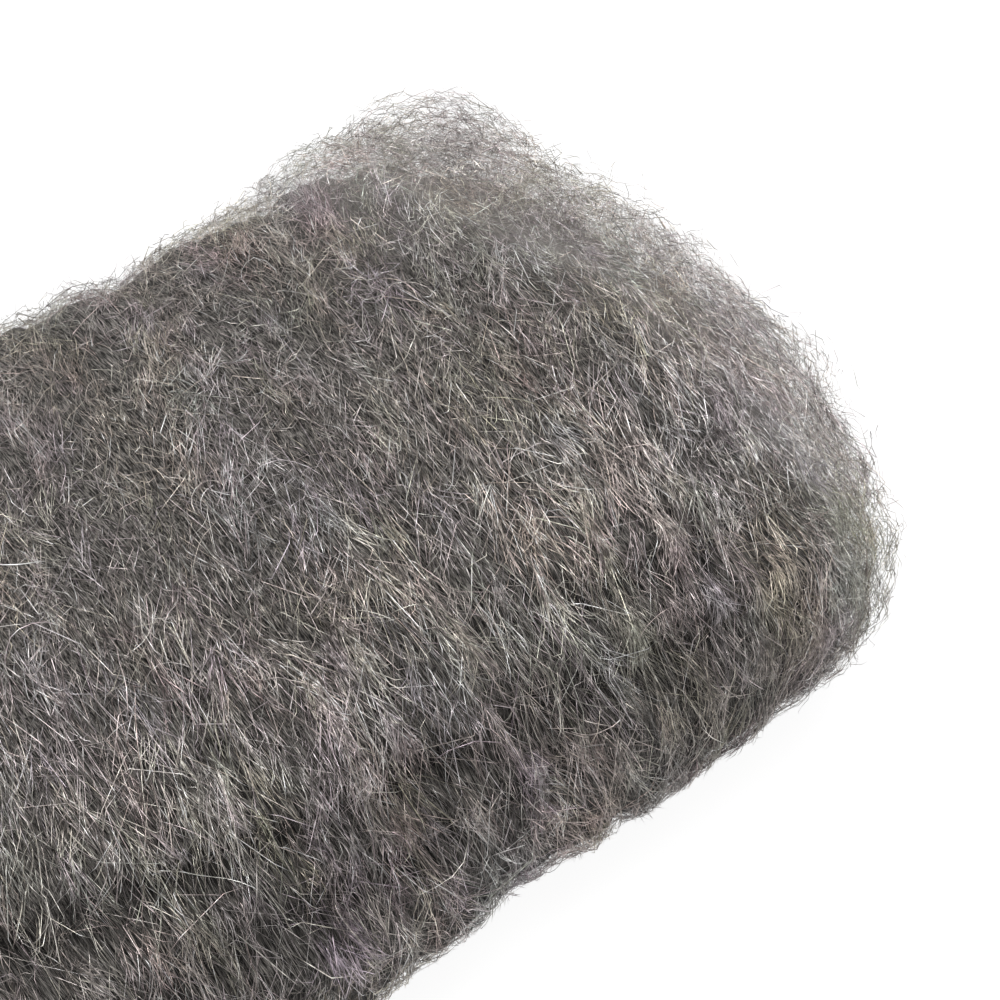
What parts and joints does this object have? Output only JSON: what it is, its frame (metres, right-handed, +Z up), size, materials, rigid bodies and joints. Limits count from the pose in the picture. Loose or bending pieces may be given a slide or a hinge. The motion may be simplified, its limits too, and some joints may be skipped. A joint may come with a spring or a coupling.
{
  "type": "steel wool bundle",
  "caption": "Soft oblong pad of matted steel fibres wound round its long axis, with rounded ends and furrows along one side, for scouring and polishing by hand.",
  "frame": {"origin": "middle of the bundle's footprint, on the surface it lies on", "axes": "+X along the bundle's long axis, round which the fibres run, +Y across it towards the smooth far side, -Y the furrowed near side, +Z up through its thickness"},
  "size_m": [0.134, 0.0818, 0.043],
  "materials": {
    "steel_fibre": "matted fine steel fibres, grey with a dull sheen"
  },
  "bodies": {
    "root": {"wool_bundle": "steel_fibre"}
  },
  "joints": []
}
